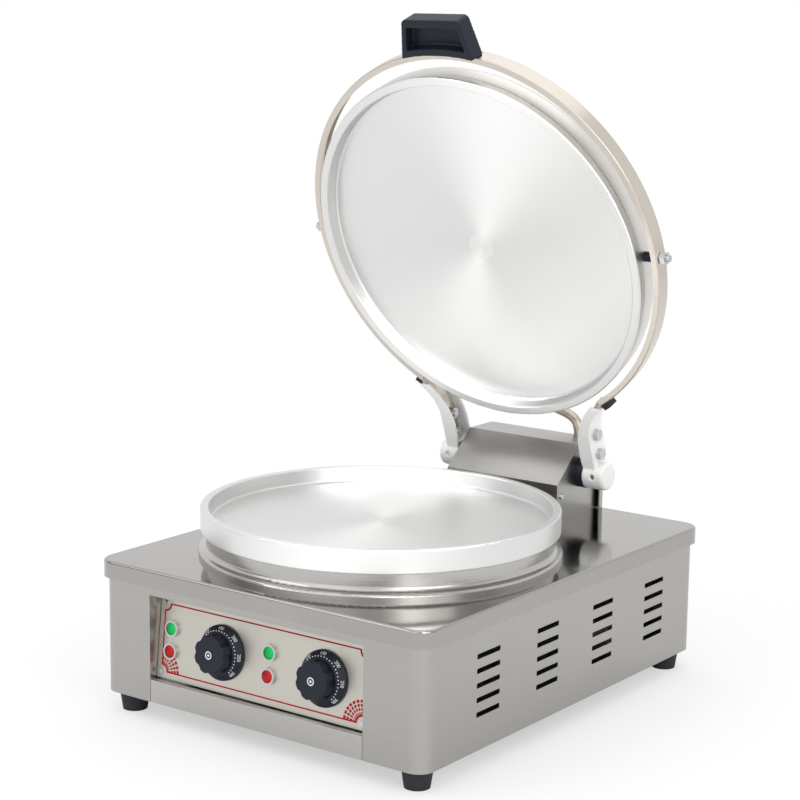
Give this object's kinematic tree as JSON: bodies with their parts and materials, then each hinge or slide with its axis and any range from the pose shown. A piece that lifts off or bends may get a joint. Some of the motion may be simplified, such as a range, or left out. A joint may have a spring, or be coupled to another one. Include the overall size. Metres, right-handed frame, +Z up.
{
  "type": "electric pancake pan",
  "caption": "Countertop electric pancake pan: sheet-metal cabinet with a heated lower pan and a hinged hoop that carries a tilting, heated upper pan.",
  "frame": {"origin": "on the ground under the middle of the deck, between the four feet", "axes": "+X to the right seen from the front, +Y to the back, +Z up"},
  "size_m": [0.491, 0.5754, 0.7613],
  "materials": {
    "stainless": "satin brushed stainless sheet",
    "panel_plate": "pale brushed face plate with a printed border",
    "turned_aluminium": "machined aluminium with fine turning marks",
    "cast_arm": "cast aluminium in light silver paint",
    "hoop_steel": "polished stainless strip",
    "conduit_metal": "flexible metal conduit",
    "black_rubber": "matt moulded rubber",
    "black_plastic": "moulded black plastic",
    "green_lens": "clear coloured lens",
    "red_lens": "clear coloured lens",
    "zinc_steel": "bright plated steel",
    "pale_plastic": "moulded pale plastic",
    "insulation": "pressed mineral fibre",
    "steel_plate": "grey primed steel",
    "heater_steel": "dull heater sheath"
  },
  "bodies": {
    "base": {"balance_springs": "zinc_steel", "base_plate": "stainless", "bracket_bolts": "zinc_steel", "bracket_nuts": "zinc_steel", "cabinet_shell": "stainless", "conduit": "conduit_metal", "conduit_elbow": "conduit_metal", "control_panel": "panel_plate", "cord_gland": "black_plastic", "deck_cover": "stainless", "feet": "black_rubber", "foot_screws": "zinc_steel", "front_lower_strip": "stainless", "green_lenses": "green_lens", "heater_clamp_plate": "steel_plate", "hinge_back_plate": "stainless", "hinge_bracket": "steel_plate", "hinge_bushings": "black_plastic", "hinge_cover": "stainless", "hinge_cover_screws": "zinc_steel", "lamp_bezels": "zinc_steel", "lamp_bodies": "pale_plastic", "lower_heater": "heater_steel", "lower_insulation": "insulation", "lower_pan": "turned_aluminium", "lower_sensor": "heater_steel", "pan_collar": "stainless", "pan_nuts": "zinc_steel", "pan_studs": "zinc_steel", "panel_screws": "zinc_steel", "red_lenses": "red_lens", "terminal_block": "pale_plastic", "thermostat_bodies": "pale_plastic"},
    "lid": {"arm_bolts": "zinc_steel", "arm_left": "cast_arm", "arm_nuts": "zinc_steel", "arm_pads": "black_rubber", "arm_right": "cast_arm", "grub_screws": "zinc_steel", "handle": "black_plastic", "handle_screws": "zinc_steel", "hinge_shaft": "zinc_steel", "lid_hoop": "hoop_steel"},
    "upper_plate": {"conduit_gland": "conduit_metal", "pivot_bolts": "zinc_steel", "pivot_nuts": "zinc_steel", "pivot_spacers": "black_plastic", "upper_cover": "stainless", "upper_cover_screws": "zinc_steel", "upper_heater": "heater_steel", "upper_insulation": "insulation", "upper_pan": "turned_aluminium"},
    "left_knob": {"left_cap": "zinc_steel", "left_dial": "black_plastic", "left_grip": "black_plastic", "left_spindle": "zinc_steel"},
    "right_knob": {"right_cap": "zinc_steel", "right_dial": "black_plastic", "right_grip": "black_plastic", "right_spindle": "zinc_steel"}
  },
  "joints": [
    {"name": "lid_hinge", "type": "hinge", "parent": "base", "child": "lid", "pos_m": [0, 0.2365, 0.222], "axis": [1, 0, 0], "range_deg": [0, 66.6], "stiffness_Nm_per_rad": 9.85, "springref_deg": -61.65, "deforming": ["conduit"]},
    {"name": "plate_float", "type": "hinge", "parent": "lid", "child": "upper_plate", "pos_m": [0, 0.13606, 0.50206], "axis": [1, 0, 0], "range_deg": [-0.8, 3.6], "deforming": ["conduit"]},
    {"name": "left_knob_turn", "type": "hinge", "parent": "base", "child": "left_knob", "pos_m": [-0.056, -0.25903, 0.093], "axis": [0, -0.9945, 0.1045], "range_deg": [-270, 0]},
    {"name": "right_knob_turn", "type": "hinge", "parent": "base", "child": "right_knob", "pos_m": [0.082, -0.25903, 0.093], "axis": [0, -0.9945, 0.1045], "range_deg": [-270, 0]}
  ]
}
